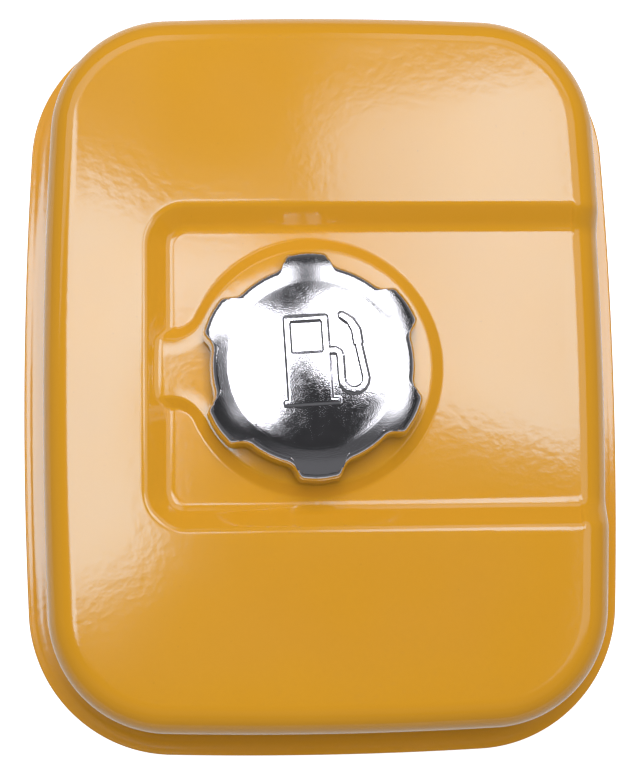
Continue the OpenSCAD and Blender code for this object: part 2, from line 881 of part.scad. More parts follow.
module bayonet_plate() {
  color(zinc)
    at_neck(0)
      union() {
        translate([0, 0, hub_z])
          cylinder(h = hub_t, r = hub_r);
        rotate([0, 0, cap_angle])
          intersection() {
            translate([0, 0, ear_z])
              cylinder(h = hub_z + hub_t - ear_z, r = ear_r);
            for (s = [0, 180])
              rotate([0, 0, s]) {
                translate([arm_in, -ear_w / 2, ear_z])
                  cube([arm_t, ear_w, hub_z + hub_t / 2 - ear_z]);
                translate([arm_in, -ear_w / 2, ear_z])
                  cube([ear_r, ear_w, ear_t]);
              }
          }
      }
}

// Vent under the hub: foam behind a baffle, held by one rivet
baffle_r = arm_in - fit;
foam_r = baffle_r - edge_gap;

module breather_foam() {
  color([0.25, 0.25, 0.27])
    at_neck(hub_z - foam_t)
      difference() {
        cylinder(h = foam_t, r = foam_r);
        translate([0, 0, -cut])
          cylinder(h = foam_t + 2 * cut, r = rivet_r);
      }
}

module vent_baffle() {
  color(zinc)
    at_neck(hub_z - foam_t - baffle_t)
      difference() {
        cylinder(h = baffle_t, r = baffle_r);
        translate([0, 0, -cut])
          cylinder(h = baffle_t + 2 * cut, r = rivet_r);
        for (a = [0:120:240])
          rotate([0, 0, a])
            translate([foam_r / 2, 0, -cut])
              cylinder(h = baffle_t + 2 * cut, r = vent_r);
      }
}

module vent_rivet() {
  color(zinc)
    at_neck(hub_z - foam_t - baffle_t)
      union() {
        cylinder(h = foam_t + baffle_t, r = rivet_r);
        translate([0, 0, -rivet_h])
          cylinder(h = rivet_h, r = 2 * rivet_r);
      }
}

upper_shell();
lower_shell();
filler_neck();
strainer_frame();
strainer_mesh();
outlet_boss();
outlet_joint();
outlet_o_ring();
outlet_screen();
front_bracket_left();
front_bracket_right();
rear_bracket();
support_rubbers();
cap_gasket();
seal_plate();
cap_spring();
cap_shell();
bayonet_plate();
breather_foam();
vent_baffle();
vent_rivet();
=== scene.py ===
"""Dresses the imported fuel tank: smooth pressed shells, the chrome cap, finishes, light and camera."""
import json
import math

import bpy
import numpy as np
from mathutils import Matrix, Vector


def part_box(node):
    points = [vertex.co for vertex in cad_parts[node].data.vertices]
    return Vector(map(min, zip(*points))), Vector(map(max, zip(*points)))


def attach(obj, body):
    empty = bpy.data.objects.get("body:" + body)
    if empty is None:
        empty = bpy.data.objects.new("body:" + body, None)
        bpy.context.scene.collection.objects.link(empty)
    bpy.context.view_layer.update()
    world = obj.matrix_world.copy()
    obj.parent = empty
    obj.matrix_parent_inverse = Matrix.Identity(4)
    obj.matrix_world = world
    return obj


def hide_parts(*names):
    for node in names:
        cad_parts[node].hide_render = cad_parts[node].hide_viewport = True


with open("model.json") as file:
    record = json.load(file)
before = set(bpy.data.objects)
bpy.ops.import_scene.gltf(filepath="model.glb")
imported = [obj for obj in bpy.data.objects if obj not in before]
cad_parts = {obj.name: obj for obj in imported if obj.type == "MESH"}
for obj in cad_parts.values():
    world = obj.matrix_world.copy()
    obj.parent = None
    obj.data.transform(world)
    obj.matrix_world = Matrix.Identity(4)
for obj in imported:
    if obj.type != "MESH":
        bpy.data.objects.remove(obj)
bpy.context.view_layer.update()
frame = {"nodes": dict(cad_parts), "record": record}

MM = 0.001
QUARTER = math.pi / 2


def corners(node):
    """Lowest and highest corner of a CAD node, in millimetres."""
    low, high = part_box(node)
    return np.array(low) / MM, np.array(high) / MM


# Levels and places read from the frame, in millimetres
upper_low, upper_high = corners("upper_shell")
lower_low, _ = corners("lower_shell")
neck_low, neck_high = corners("filler_neck")
cap_low, cap_high = corners("cap_shell")
SEAM_Z = upper_low[2]
TOP_Z = upper_high[2]
SUMP_Z = lower_low[2]
HALF_W, HALF_L = upper_high[:2]
NECK = (neck_low[:2] + neck_high[:2]) / 2
CAP_Z = cap_high[2]
SKIRT_Z = cap_low[2]

# Sizes that the frame does not give by itself, in millimetres. Outline, flange and walls:
SIDE_BULGE = 4.8
END_BULGE = 3.5
CORNER_R = 45.0
SHEET = 0.9
FLANGE_FLAT = 5.6
FLANGE_LIFT = 0.2
RIM_END = 0.65
ROOT_GAP = 0.2
ROOT_R = 3.0
TOP_R = 9.0
BOTTOM_R = 12.0
DRAFT = math.radians(3.0)
LOWER_H = 36.0

# The wheel track that the seam weld leaves in the flange
TRACK_AT = 3.1
TRACK_HALF = 1.3
TRACK_SOFT = 0.9
TRACK_D = 0.05
FACES_UP = 0.99

# The tray, and the pad and bridge that stand in it
TRAY_W = 96.6
TRAY_BACK = 53.6
TRAY_D = 4.0
TRAY_SLOPE = math.radians(31.5)
TRAY_EDGE_R = 4.0
TRAY_FOOT_R = 6.5
TRAY_R = 13.0
PAD_H = 1.8
PAD_CROWN = 0.2
CROWN_RUN = 5.0
PAD_AT = (-4.2, -0.4)
PAD_R = 38.1
PAD_SLOPE = math.radians(29.0)
PAD_EDGE_R = 1.3
BRIDGE_W = 24.0
BRIDGE_R = 3.2
NECK_HOLE_R = 24.7

# The slight unevenness of the pressed sheet, which fades in from the panel's edge
WAVE_H = 0.035
WAVE_X, WAVE_X_SHIFT = 23.0, 0.6
WAVE_Y, WAVE_Y_SHIFT = 31.0, 1.1
WAVE_SLANT, SLANT_SHARE = 17.0, 0.5
WAVE_FADE = 0.08


# Meshes

def smoothstep(low, high, value):
    """0 below low, 1 above high, and a smooth rise between them."""
    t = np.clip((value - low) / (high - low), 0.0, 1.0)
    return t * t * (3.0 - 2.0 * t)


def round_union(a, b, radius):
    """Distance from two joined shapes whose inner corner is filled with an arc."""
    fill = np.hypot(np.maximum(radius - a, 0.0), np.maximum(radius - b, 0.0))
    return np.maximum(radius, np.minimum(a, b)) - fill


def rounded_box(qx, qy, radius):
    """Signed distance from a rounded corner; qx and qy are the distances from its two straight sides."""
    qx, qy = qx + radius, qy + radius
    outside = np.hypot(np.maximum(qx, 0.0), np.maximum(qy, 0.0))
    return outside + np.minimum(np.maximum(qx, qy), 0.0) - radius


def between(first, last, count):
    """Points at even steps from first to last, without these two."""
    first, last = np.array(first), np.array(last)
    return [first + t * (last - first) for t in np.linspace(0.0, 1.0, count)[1:-1]]


def ring_faces(rows, n):
    """Quads between rows of n points each, every row closed to a ring."""
    k = np.arange(n)
    nxt = (k + 1) % n
    starts = [(r * n, (r + 1) * n) for r in range(rows - 1)]
    quads = [np.stack([a + k, a + nxt, b + nxt, b + k], axis=1) for a, b in starts]
    return np.concatenate(quads).tolist()


def link_object(name, data):
    """A new object in the scene."""
    thing = bpy.data.objects.new(name, data)
    bpy.context.scene.collection.objects.link(thing)
    return thing


def mesh_from_rings(name, rings, close_first=False, close_last=False):
    """A smooth mesh through rings of equal length, given in millimetres."""
    n = len(rings[0])
    verts = np.concatenate(rings)
    faces = ring_faces(len(rings), n)
    if close_first:
        verts = np.vstack([verts, rings[0].mean(axis=0)])
        faces += [[len(verts) - 1, (i + 1) % n, i] for i in range(n)]
    if close_last:
        start = (len(rings) - 1) * n
        verts = np.vstack([verts, rings[-1].mean(axis=0)])
        faces += [[len(verts) - 1, start + i, start + (i + 1) % n] for i in range(n)]
    mesh = bpy.data.meshes.new(name)
    mesh.from_pydata((verts * MM).tolist(), [], faces)
    mesh.polygons.foreach_set("use_smooth", [True] * len(mesh.polygons))
    mesh.update()
    return link_object(name, mesh)


def arc(centre, radius, start, end, count):
    """Points on an arc and their unit normals; the end point is left out."""
    angle = np.linspace(start, end, count, endpoint=False)
    normal = np.stack([np.cos(angle), np.sin(angle)], axis=1)
    return np.array(centre) + radius * normal, normal


def tank_outline(side_count=90, corner_count=80, end_count=60):
    """The flange outline and its outward normals: eight tangent arcs, as in the solids."""
    side_r = (HALF_L ** 2 + SIDE_BULGE ** 2) / (2 * SIDE_BULGE)
    end_r = (HALF_W ** 2 + END_BULGE ** 2) / (2 * END_BULGE)
    side_c = np.array([HALF_W - side_r, 0.0])
    end_c = np.array([0.0, HALF_L - end_r])
    gap = end_c - side_c
    dist = np.linalg.norm(gap)
    gap = gap / dist
    along = ((side_r - CORNER_R) ** 2 - (end_r - CORNER_R) ** 2 + dist ** 2) / (2 * dist)
    off = math.sqrt((side_r - CORNER_R) ** 2 - along ** 2)
    corner_c = side_c + along * gap + off * np.array([-gap[1], gap[0]])
    first = math.atan2(corner_c[1], corner_c[0] - side_c[0])
    second = math.atan2(corner_c[1] - end_c[1], corner_c[0])
    arcs = [
        arc(side_c, side_r, 0.0, first, side_count),
        arc(corner_c, CORNER_R, first, second, corner_count),
        arc(end_c, end_r, second, QUARTER, end_count),
    ]
    points = np.concatenate([a[0] for a in arcs] + [[[0.0, HALF_L]]])
    normals = np.concatenate([a[1] for a in arcs] + [[[0.0, 1.0]]])
    return four_fold(points), four_fold(normals)


def four_fold(quarter):
    """A whole outline from its first quarter, which runs from the +X to the +Y axis."""
    head, tail = quarter[:-1], quarter[:0:-1]
    return np.concatenate([head, tail * [-1, 1], head * [-1, -1], tail * [1, -1]])


OUTLINE, OUTLINE_NORMAL = tank_outline()


def wall_section(height, edge_r, root_count=9, wall_count=14, edge_count=17):
    """Rows of inset, height over the seam and profile normal (outwards, up), from flange to panel."""
    root_z, edge_z = SHEET + ROOT_R, height - edge_r
    rise = edge_z - root_z
    edge_i = FLANGE_FLAT + (edge_r + ROOT_R + rise * math.sin(DRAFT)) / math.cos(DRAFT)
    root, edge_rows = [], []
    for turn in np.linspace(-QUARTER, -DRAFT, root_count):
        c, s = math.cos(turn), math.sin(turn)
        root.append([FLANGE_FLAT + ROOT_R * c, root_z + ROOT_R * s, c, -s])
    for turn in np.linspace(DRAFT, QUARTER, edge_count):
        c, s = math.cos(turn), math.sin(turn)
        edge_rows.append([edge_i - edge_r * c, edge_z + edge_r * s, c, s])
    wall = between(root[-1][:2], edge_rows[0][:2], wall_count)
    return np.array(root + [[*point, *root[-1][2:]] for point in wall] + edge_rows)


def flange_rows(lift=0.0, rim_count=9, flat_count=16):
    """The flange from its inner underside round the edge to the root of the wall.

    The edge is lifted a little, so that the flat top leans inwards.
    """
    half = (SHEET + lift) / 2
    rim = [[half * (1 - math.cos(a)), half * (1 + math.sin(a)), math.cos(a), math.sin(a)]
           for a in np.linspace(-QUARTER, QUARTER, rim_count)]
    flat = [[inset, SHEET + lift * (1 - inset / FLANGE_FLAT), 0, 1]
            for inset in np.linspace(RIM_END, FLANGE_FLAT - ROOT_GAP, flat_count)]
    return np.array([[FLANGE_FLAT, 0.0, 0, -1]] + rim + flat)


def place_rows(rows, up):
    """Rings of points and normals for profile rows; up is +1 over the seam and -1 below it."""
    points, normals = [], []
    for inset, height, out, rise in rows:
        flat = OUTLINE - inset * OUTLINE_NORMAL
        z = np.full((len(flat), 1), SEAM_Z + up * height)
        points.append(np.hstack([flat, z]))
        normals.append(np.hstack([out * OUTLINE_NORMAL, np.full((len(flat), 1), up * rise)]))
    return points, normals


def seam_track(rows):
    """Depth of the seam weld's faint wheel track at each profile row."""
    inset, height, _, rise = rows.T
    on_top = (rise > FACES_UP) & (height <= SHEET + FLANGE_LIFT)
    aside = smoothstep(TRACK_HALF - TRACK_SOFT, TRACK_HALF, np.abs(inset - TRACK_AT))
    return on_top * TRACK_D * (1.0 - aside)


# The pressed top panel

def wall_run(depth, slope, edge_r, foot_r):
    """Plan width of a press wall with a rounded shoulder and foot."""
    bends = edge_r + foot_r
    return bends * np.sin(slope) + (depth - bends * (1 - np.cos(slope))) / np.tan(slope)


def press_wall(way, depth, steepest, edge_r, foot_r):
    """Depth at a way in from the shoulder line: over the shoulder, down the slope, through the foot."""
    bends = edge_r + foot_r
    slope = np.minimum(steepest, np.arccos(np.clip(1.0 - depth / bends, -1.0, 1.0)))
    run = wall_run(depth, slope, edge_r, foot_r)
    bend, foot = edge_r * np.sin(slope), run - foot_r * np.sin(slope)
    shoulder = edge_r - np.sqrt(edge_r ** 2 - np.clip(way, 0.0, bend) ** 2)
    middle = edge_r * (1 - np.cos(slope)) + (way - bend) * np.tan(slope)
    left = np.clip(run - way, 0.0, foot_r * np.sin(slope))
    low = depth - foot_r + np.sqrt(foot_r ** 2 - left ** 2)
    return np.where(way < bend, shoulder, np.where(way < foot, middle, low))


def pad_distance(x, y):
    """Distance outside the foot line of the pad and its bridge."""
    x, y = x - PAD_AT[0], y - PAD_AT[1]
    disc = np.hypot(x, y) - PAD_R
    bridge = np.maximum(np.abs(y) - BRIDGE_W / 2, x)
    return round_union(disc, bridge, BRIDGE_R)


def press_depth(x, y):
    """How far the panel is pressed in at x, y: a tray with a raised pad round the neck."""
    from_top = wall_run(PAD_H, PAD_SLOPE, PAD_EDGE_R, PAD_EDGE_R) + pad_distance(x, y)
    crown = PAD_CROWN * (1.0 - np.clip(1.0 + from_top / CROWN_RUN, 0.0, 1.0) ** 2)
    floor = TRAY_D - PAD_H - crown + press_wall(from_top, PAD_H, PAD_SLOPE, PAD_EDGE_R, PAD_EDGE_R)
    inside = -rounded_box(-TRAY_BACK - x, np.abs(y) - TRAY_W / 2, TRAY_R)
    return press_wall(inside, floor, TRAY_SLOPE, TRAY_EDGE_R, TRAY_FOOT_R)


def sheet_wave(x, y):
    """Height of the sheet's unevenness, in millimetres."""
    square = np.sin(x / WAVE_X + WAVE_X_SHIFT) * np.sin(y / WAVE_Y + WAVE_Y_SHIFT)
    return WAVE_H * (square + SLANT_SHARE * np.sin((x + y) / WAVE_SLANT))


def upper_wall():
    """Rings of the upper shell from the seam to the panel's edge, which dips where the tray is open."""
    rows = np.vstack([flange_rows(FLANGE_LIFT), wall_section(TOP_Z - SEAM_Z, TOP_R)])
    points, normals = place_rows(rows, 1)
    low, high = SHEET + ROOT_R, TOP_Z - SEAM_Z - TOP_R
    open_end = press_depth(np.full(len(OUTLINE), HALF_W), OUTLINE[:, 1]) * (OUTLINE[:, 0] > 0)
    rings = []
    for ring, normal, dent, row in zip(points, normals, seam_track(rows), rows):
        ring = ring - normal * dent
        ring[:, 2] -= open_end * np.clip((row[1] - low) / (high - low), 0.0, 1.0)
        rings.append(ring)
    return rings


def upper_shell(panel_count=181):
    """The upper shell from the seam over flange, wall and panel to the filler hole."""
    rings = upper_wall()
    panel_edge = rings[-1][:, :2]
    toward = panel_edge - NECK
    hole = NECK + NECK_HOLE_R * toward / np.linalg.norm(toward, axis=1, keepdims=True)
    for t in np.linspace(0.0, 1.0, panel_count)[1:]:
        flat = panel_edge + t * (hole - panel_edge)
        x, y = flat[:, 0], flat[:, 1]
        z = TOP_Z - press_depth(x, y) + sheet_wave(x, y) * smoothstep(0.0, WAVE_FADE, t)
        rings.append(np.column_stack([x, y, z]))
    return mesh_from_rings("upper_shell_skin", rings)


# The lower shell with its sump

SUMP_C = np.array([0.0, -48.0])
SUMP_SIZE = np.array([92.0, 80.0])
SUMP_R = 16.0
SUMP_EDGE_R = 8.0
SUMP_LIP_R = 3.0
SUMP_DRAFT = math.radians(8.0)
SUMP_FAR = 90.0
SUMP_MIDDLE = 0.02
HALVINGS = 40


def box_radius(angle, grow):
    """Distance from the sump's middle to its rounded outline at each angle, by halving."""
    low = np.zeros_like(angle)
    high = np.full_like(angle, SUMP_FAR)
    for _ in range(HALVINGS):
        mid = (low + high) / 2
        qx = np.abs(mid * np.cos(angle)) - SUMP_SIZE[0] / 2 - grow
        qy = np.abs(mid * np.sin(angle)) - SUMP_SIZE[1] / 2 - grow
        inside = rounded_box(qx, qy, SUMP_R) < 0
        low, high = np.where(inside, mid, low), np.where(inside, high, mid)
    return (low + high) / 2


def sump_rows(drop, lip_count=7, wall_count=8, edge_count=11):
    """Rows of outward growth and depth below the shallow floor, from the lip to the sump's floor."""
    lip = [[SUMP_LIP_R * (1 - math.sin(turn)), SUMP_LIP_R * (1 - math.cos(turn))]
           for turn in np.linspace(0.0, QUARTER - SUMP_DRAFT, lip_count)]
    edge_h = drop - SUMP_EDGE_R
    edge_i = (SUMP_EDGE_R + edge_h * math.sin(SUMP_DRAFT)) / math.cos(SUMP_DRAFT)
    curve = [[-edge_i + SUMP_EDGE_R * math.cos(turn), edge_h + SUMP_EDGE_R * math.sin(turn)]
             for turn in np.linspace(SUMP_DRAFT, QUARTER, edge_count)]
    return lip + between(lip[-1], curve[0], wall_count) + curve


def lower_shell(shelf_count=24, floor_count=14):
    """The lower shell from the sump's middle over floor and wall to the seam."""
    rows = np.vstack([flange_rows(), wall_section(LOWER_H, BOTTOM_R)])
    points, normals = place_rows(rows, -1)
    outer = [ring - normal * dent for ring, normal, dent in zip(points, normals, seam_track(rows))]
    floor_z = SEAM_Z - LOWER_H
    toward = points[-1][:, :2] - SUMP_C
    angle = np.arctan2(toward[:, 1], toward[:, 0])
    ray = np.stack([np.cos(angle), np.sin(angle)], axis=1)
    sump = []
    for grow, depth in sump_rows(floor_z - SUMP_Z):
        flat = SUMP_C + ray * box_radius(angle, grow)[:, None]
        sump.append(np.column_stack([flat, np.full(len(flat), floor_z - depth)]))
    shelf = between(points[-1], sump[0], shelf_count)
    floor = [sump[-1] * [share, share, 1] + np.append(SUMP_C * (1 - share), 0)
             for share in np.linspace(1, SUMP_MIDDLE, floor_count)[1:]]
    rings = outer + shelf + sump + floor
    return mesh_from_rings("lower_shell_skin", rings[::-1], close_first=True)


# The cap: outline, top and skirt

CAP_T = 0.8
LOBES = 6
CAP_ANGLE = math.radians(93.1)
CAP_R = 33.1
HOLLOW_R = 29.2
LOBE_TIP = math.radians(10.6)
LOBE_FOOT = math.radians(16.2)
LOBE_MIDDLE = 0.05
LOBE_ROUND = 2.8
FOOT_ROUND = 4.0
FOOT_EASE = math.radians(5.0)
FLARE = 0.6
ROLL_R = 1.7
EDGE_BREAK = 0.15
SKIRT_FOOT = 0.5
LOBE_CROWN = 0.0125
CROWN_R = 26.5
CREASE_R = 23.7
CREASE_SOFT = 0.35
CREASE_BAND = 1.2
INNER_BAND = 0.4
INNER_RADII = (2.0, 9.0, 16.0)
DOME_CURVE = 0.0058
DOME_EASE_R = 15.0
DOME_EASE = 0.00012
SHOULDER_SLOPE = 0.30

# The fuel-pump sign, in the cap's own upright frame: slabs have two corners and a radius
SIGN_H = 0.52
SIGN_EDGE = 0.42
SIGN_REACH = 17.0
SIGN_MIDDLE = 0.17
PUMP_BODY = ((-7.8, -10.8), (4.6, 13.4), 0.7)
PUMP_WINDOW = ((-6.0, 3.0), (2.7, 11.8), 0.5)
PUMP_BASE = ((-9.0, -11.5), (6.6, -10.0), 0.5)
HOSE_START = [(4.4, 3.2), (6.1, 3.2), (7.1, 2.5), (7.4, 1.4), (7.4, -4.9)]
HOSE_BEND = (10.8, -4.9)
HOSE_BEND_R = 3.4
HOSE_HALF = 0.95
SPOUT_LINE = [(12.6, 5.2), (12.3, 8.6), (10.9, 11.3), (8.6, 13.0)]
SPOUT_HALF = 1.3
SPOUT_TAPER = 0.06
TAPER_FROM = 8.0


def rounded_corner(before, corner, after, radius, count=9):
    """Points of a corner rounded by an arc."""
    u = (before - corner) / np.linalg.norm(before - corner)
    v = (after - corner) / np.linalg.norm(after - corner)
    half = math.acos(float(np.clip(u @ v, -1, 1))) / 2
    reach = radius / math.tan(half)
    bisector = (u + v) / np.linalg.norm(u + v)
    centre = corner + bisector * radius / math.sin(half)
    start, end = corner + u * reach - centre, corner + v * reach - centre
    a0 = math.atan2(start[1], start[0])
    turn = (math.atan2(end[1], end[0]) - a0 + math.pi) % (2 * math.pi) - math.pi
    angle = a0 + turn * np.linspace(0, 1, count)
    return centre + radius * np.stack([np.cos(angle), np.sin(angle)], axis=1)


def spoke(radius, angle):
    """The point at a radius and an angle."""
    return radius * np.array([math.cos(angle), math.sin(angle)])


def turn_matrix(angle):
    """Turns points, given as rows, by an angle."""
    c, s = math.cos(angle), math.sin(angle)
    return np.array([[c, s], [-s, c]])


def one_lobe(hollow_count=8, tip_count=5):
    """The outline of one lobe about the +X axis, with half a hollow on either side."""
    half_pitch = math.pi / LOBES
    ease = LOBE_FOOT + FOOT_EASE
    tip = spoke(CAP_R, 0)
    before = [spoke(HOLLOW_R, -ease), spoke(HOLLOW_R, -LOBE_FOOT), spoke(CAP_R, -LOBE_TIP), tip]
    after = [tip, spoke(CAP_R, LOBE_TIP), spoke(HOLLOW_R, LOBE_FOOT), spoke(HOLLOW_R, ease)]
    return np.vstack([
        [spoke(HOLLOW_R, a) for a in np.linspace(-half_pitch, -ease, hollow_count)],
        rounded_corner(*before[:3], FOOT_ROUND),
        rounded_corner(*before[1:], LOBE_ROUND),
        [spoke(CAP_R, a) for a in np.linspace(-LOBE_MIDDLE, LOBE_MIDDLE, tip_count)],
        rounded_corner(*after[:3], LOBE_ROUND),
        rounded_corner(*after[1:], FOOT_ROUND),
        [spoke(HOLLOW_R, a) for a in np.linspace(ease, half_pitch, hollow_count)[:-1]],
    ])


def lobe_outline(count=720):
    """The cap's outline, lobe by lobe, as even steps along its length."""
    pitch = 2 * math.pi / LOBES
    rough = np.vstack([one_lobe() @ turn_matrix(CAP_ANGLE + k * pitch) for k in range(LOBES)])
    closed = np.vstack([rough, rough[:1]])
    run = np.concatenate([[0], np.cumsum(np.linalg.norm(np.diff(closed, axis=0), axis=1))])
    even = np.linspace(0, run[-1], count, endpoint=False)
    return np.column_stack([np.interp(even, run, closed[:, 0]), np.interp(even, run, closed[:, 1])])


LOBE_LINE = lobe_outline()


def lobe_normals():
    """Outward normals of the cap's outline."""
    tangent = np.roll(LOBE_LINE, -2, axis=0) - np.roll(LOBE_LINE, 2, axis=0)
    normal = np.column_stack([tangent[:, 1], -tangent[:, 0]])
    return normal / np.linalg.norm(normal, axis=1, keepdims=True)


LOBE_NORMAL = lobe_normals()
LOBE_ANGLE = np.arctan2(LOBE_LINE[:, 1], LOBE_LINE[:, 0])
LOBE_RAY = np.stack([np.cos(LOBE_ANGLE), np.sin(LOBE_ANGLE)], axis=1)


def segment_distance(p, a, b):
    """Distance of the points p from the segment a-b."""
    a, b = np.array(a), np.array(b)
    t = np.clip(((p - a) @ (b - a)) / ((b - a) @ (b - a)), 0.0, 1.0)
    return np.linalg.norm(p - a - t[:, None] * (b - a), axis=1)


def line_distance(p, line):
    """Distance of the points p from a line of several segments."""
    return np.min([segment_distance(p, a, b) for a, b in zip(line, line[1:])], axis=0)


def slab_distance(p, low, high, radius):
    """Signed distance from a rounded rectangle."""
    low, high = np.array(low), np.array(high)
    q = np.abs(p - (low + high) / 2) - (high - low) / 2 + radius
    return np.linalg.norm(np.maximum(q, 0), axis=1) + np.minimum(q.max(axis=1), 0) - radius


def pump_sign(p, bend_count=9):
    """Height of the embossed fuel-pump sign at the points p."""
    body, window, base = [slab_distance(p, *slab) for slab in (PUMP_BODY, PUMP_WINDOW, PUMP_BASE)]
    bend = [(HOSE_BEND[0] + HOSE_BEND_R * math.cos(a), HOSE_BEND[1] + HOSE_BEND_R * math.sin(a))
            for a in np.linspace(math.pi, 2 * math.pi, bend_count)[1:]]
    hose = line_distance(p, HOSE_START + bend + SPOUT_LINE[:1]) - HOSE_HALF
    taper = SPOUT_TAPER * np.maximum(p[:, 1] - TAPER_FROM, 0)
    spout = line_distance(p, SPOUT_LINE) - SPOUT_HALF + taper
    shape = np.minimum(np.minimum(np.maximum(body, -window), base), np.minimum(hose, spout))
    return SIGN_H * (1.0 - smoothstep(-SIGN_EDGE, SIGN_EDGE, shape))


def dome_drop(radius):
    """How far the dome has dropped at a radius."""
    return DOME_CURVE * radius ** 2 / 2 + DOME_EASE * np.maximum(radius - DOME_EASE_R, 0.0) ** 3


def cap_top(radius):
    """Height of the cap's top at each radius: a dome, a crease, a sloped shoulder and crowned lobes."""
    past = radius - CREASE_R
    outside = (past + np.sqrt(past ** 2 + CREASE_SOFT ** 2)) / 2
    crown = LOBE_CROWN * np.maximum(radius - CROWN_R, 0.0) ** 2
    return CAP_Z - dome_drop(np.minimum(radius, CREASE_R)) - SHOULDER_SLOPE * outside - crown


def lobed_ring(inset, drop):
    """A ring along the lobes, at a drop below the cap's top."""
    flat = LOBE_LINE - inset * LOBE_NORMAL
    return np.column_stack([NECK + flat, cap_top(np.linalg.norm(flat, axis=1)) - drop])


def level_ring(inset, rise):
    """A ring along the lobes, at one height over the skirt's edge."""
    flat = LOBE_LINE - inset * LOBE_NORMAL
    return np.column_stack([NECK + flat, np.full(len(flat), SKIRT_Z + rise)])


def round_ring(radius, drop=0.0):
    """A ring at one radius, or at one for each angle, at a drop below the cap's top."""
    radius = np.broadcast_to(radius, LOBE_ANGLE.shape)
    return np.column_stack([NECK + radius[:, None] * LOBE_RAY, cap_top(radius) - drop])


def cap_inside():
    """Rings of the cover's underside, from near its middle to the skirt's edge."""
    radii = (*INNER_RADII, CREASE_R - INNER_BAND, CREASE_R + INNER_BAND)
    rings = [round_ring(r, CAP_T) for r in radii]
    rings += [lobed_ring(FLARE + ROLL_R, CAP_T), lobed_ring(FLARE + CAP_T, ROLL_R)]
    return rings + [level_ring(CAP_T, EDGE_BREAK), level_ring(CAP_T - EDGE_BREAK, 0.0)]


def cap_skirt(side_count=8, roll_count=11):
    """Rings of the outside, from the skirt's edge up the flared side and over the roll."""
    rings = [level_ring(EDGE_BREAK, 0.0), level_ring(0.0, EDGE_BREAK), level_ring(0.0, SKIRT_FOOT)]
    foot, waist = rings[-1], lobed_ring(FLARE, ROLL_R)
    rings += [foot + t * (waist - foot) for t in np.linspace(0, 1, side_count)[1:]]
    for turn in np.linspace(0, QUARTER, roll_count)[1:]:
        drop = ROLL_R * (1 - math.sin(turn))
        rings.append(lobed_ring(FLARE + ROLL_R * (1 - math.cos(turn)), drop))
    return rings


def cap_dome(roll_end, shoulder_count=16, crease_count=17, dome_count=8, sign_count=110):
    """Rings of the top, from the end of the roll over shoulder and crease to near the middle."""
    reach = np.linalg.norm(roll_end[:, :2] - NECK, axis=1)
    outer, inner = CREASE_R + CREASE_BAND, CREASE_R - CREASE_BAND
    rings = [round_ring(reach + t * (outer - reach)) for t in np.linspace(0, 1, shoulder_count)[1:]]
    rings += [round_ring(r) for r in np.linspace(outer, inner, crease_count)[1:]]
    upright = turn_matrix(QUARTER - CAP_ANGLE)
    plain = np.linspace(inner, SIGN_REACH, dome_count)[1:]
    signed = np.linspace(SIGN_REACH, SIGN_MIDDLE, sign_count)[1:]
    for radius in np.concatenate([plain, signed]):
        ring = round_ring(radius)
        ring[:, 2] += pump_sign((ring[:, :2] - NECK) @ upright)
        rings.append(ring)
    return rings


def cap_shell():
    """The pressed cover, from the middle of its underside round the skirt to the middle of its top."""
    skirt = cap_skirt()
    rings = cap_inside() + skirt + cap_dome(skirt[-1])
    return mesh_from_rings("cap_cover", rings, close_first=True, close_last=True)


# Finishes

# Most of a noise field lies in this range
MOST = (0.3, 0.7)
SPAN_KEYS = ("From Min", "From Max", "To Min", "To Max")
PAINT = ((0.655, 0.303, 0.0176), (0.680, 0.320, 0.0192))
PAINT_SPECK = (0.45, 0.20, 0.02)
PAINT_GLOSS = (0.42, 0.76, 1.0, 1.0)
CHROME = (0.67, 0.665, 0.72, 1.0)
ZINC = ((0.52, 0.53, 0.54), (0.66, 0.67, 0.67))
BRASS = ((0.58, 0.40, 0.14), (0.70, 0.50, 0.20))
NYLON = ((0.74, 0.71, 0.60), (0.82, 0.80, 0.71))
RUBBER = ((0.012, 0.012, 0.013), (0.030, 0.030, 0.031))
FOAM = ((0.015, 0.015, 0.017), (0.075, 0.075, 0.08))


